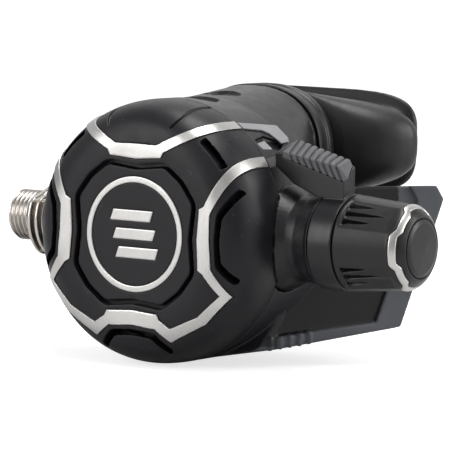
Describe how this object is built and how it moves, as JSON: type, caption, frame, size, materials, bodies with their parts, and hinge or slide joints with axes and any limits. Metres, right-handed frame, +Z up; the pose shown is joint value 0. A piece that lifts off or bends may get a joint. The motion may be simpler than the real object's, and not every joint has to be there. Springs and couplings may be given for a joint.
{
  "type": "scuba second stage regulator",
  "caption": "Diver's second stage demand regulator with a purge button, adjusting knob, venturi lever, exhaust tee, hose inlet and mouthpiece.",
  "frame": {"origin": "centre of the hose thread's end face, on the axis of the valve barrel", "axes": "+X along the valve barrel from the hose to the knob, -Y the purge side, +Y the diver's side with the mouthpiece, +Z up as worn"},
  "size_m": [0.1322, 0.1066, 0.0747],
  "materials": {
    "cover_plastic": "satin moulded plastic with a fine grain",
    "case_plastic": "smooth satin moulded plastic",
    "knob_plastic": "satin moulded plastic",
    "tee_plastic": "matt moulded plastic, slightly grey",
    "grey_plastic": "matt grey moulded plastic",
    "grey_trim": "satin light grey plastic",
    "silver_trim": "bright satin silver",
    "stainless_steel": "turned and brushed",
    "spring_steel": "drawn wire",
    "plated_brass": "machined and plated",
    "anodised_aluminium": "turned and clear anodised",
    "silicone": "soft matt silicone",
    "mouthpiece_rubber": "soft satin silicone rubber"
  },
  "bodies": {
    "housing": {"front_cover": "cover_plastic", "cover_trim_upper": "silver_trim", "cover_trim_lower": "silver_trim", "purge_spring": "spring_steel", "diaphragm_guard": "case_plastic", "diaphragm": "silicone", "case": "case_plastic", "case_trim": "grey_trim", "trim_block": "grey_plastic", "window_marker": "grey_trim", "valve_barrel": "plated_brass", "inlet_fitting": "stainless_steel", "inlet_o_ring": "silicone", "orifice": "plated_brass", "orifice_o_ring": "silicone", "poppet_spring": "spring_steel", "exhaust_valve_left": "silicone", "exhaust_valve_right": "silicone", "exhaust_tee": "tee_plastic", "mouthpiece": "mouthpiece_rubber", "mouthpiece_clamp": "case_plastic"},
    "purge_button": {"purge_button": "cover_plastic", "purge_ring": "silver_trim", "purge_badge": "silver_trim"},
    "diaphragm_plate": {"diaphragm_plate": "stainless_steel"},
    "demand_lever": {"demand_lever": "stainless_steel"},
    "poppet": {"poppet": "case_plastic", "valve_seat": "silicone", "lever_washer": "stainless_steel", "lever_locknut": "stainless_steel"},
    "adjusting_knob": {"adjusting_knob": "knob_plastic", "knob_trim": "silver_trim", "knob_cap": "knob_plastic"},
    "adjusting_screw": {"adjusting_screw": "anodised_aluminium", "screw_o_ring": "silicone", "knob_screw": "stainless_steel"},
    "venturi_lever": {"venturi_lever": "case_plastic", "venturi_grip": "grey_plastic", "venturi_vane": "case_plastic"}
  },
  "joints": [
    {"name": "purge_press", "type": "slide", "parent": "housing", "child": "purge_button", "axis": [0, 1, 0], "range_m": [0, 0.0032], "stiffness_N_per_m": 1200, "springref_m": -0.001, "deforming": ["purge_spring"]},
    {"name": "diaphragm_press", "type": "slide", "parent": "housing", "child": "diaphragm_plate", "axis": [0, 1, 0], "range_m": [0, 0.0032], "deforming": ["diaphragm"]},
    {"name": "demand_lever_swing", "type": "hinge", "parent": "housing", "child": "demand_lever", "pos_m": [0.0732, -0.0062, 0], "axis": [0, 0, -1], "range_deg": [0, 11.5]},
    {"name": "poppet_slide", "type": "slide", "parent": "housing", "child": "poppet", "axis": [1, 0, 0], "range_m": [0, 0.00085], "deforming": ["poppet_spring"]},
    {"name": "knob_turn", "type": "hinge", "parent": "housing", "child": "adjusting_knob", "pos_m": [0.1172, 0, 0], "axis": [1, 0, 0], "range_deg": [0, 1080]},
    {"name": "adjusting_screw_slide", "type": "slide", "parent": "adjusting_knob", "child": "adjusting_screw", "axis": [1, 0, 0], "range_m": [0, 0.00301]},
    {"name": "venturi_lever_turn", "type": "hinge", "parent": "housing", "child": "venturi_lever", "pos_m": [0.1072, 0, 0], "axis": [-1, 0, 0], "range_deg": [0, 50]}
  ],
  "couplings": [
    {"joint": "diaphragm_press", "follows": "purge_press", "ratio": 1},
    {"joint": "demand_lever_swing", "follows": "purge_press", "rad_per_m": 62.5},
    {"joint": "poppet_slide", "follows": "purge_press", "ratio": 0.2625},
    {"joint": "adjusting_screw_slide", "follows": "knob_turn", "m_per_rad": 0.00015915}
  ]
}
